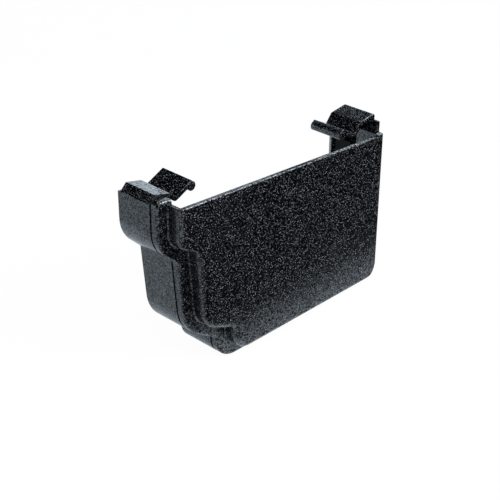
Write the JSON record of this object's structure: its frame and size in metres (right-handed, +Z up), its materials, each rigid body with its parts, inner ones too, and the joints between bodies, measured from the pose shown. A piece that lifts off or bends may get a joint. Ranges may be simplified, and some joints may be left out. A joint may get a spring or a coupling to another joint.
{
  "type": "gutter end cap",
  "caption": "External stop end for an ogee gutter: moulded end panel with stepped front, socket with seal, and spring clips that snap over the gutter's front lip and back edge.",
  "frame": {"origin": "middle of the footprint, on the surface that the part stands on", "axes": "+X across the gutter from its front to the fascia, +Y along the gutter from the end panel to the open mouth, +Z up"},
  "size_m": [0.116, 0.0264, 0.0794],
  "materials": {
    "end_cap": "black, cast-iron-effect grain",
    "gutter_seal": "matt black"
  },
  "bodies": {
    "root": {"end_cap": "end_cap", "gutter_seal": "gutter_seal"}
  },
  "joints": []
}
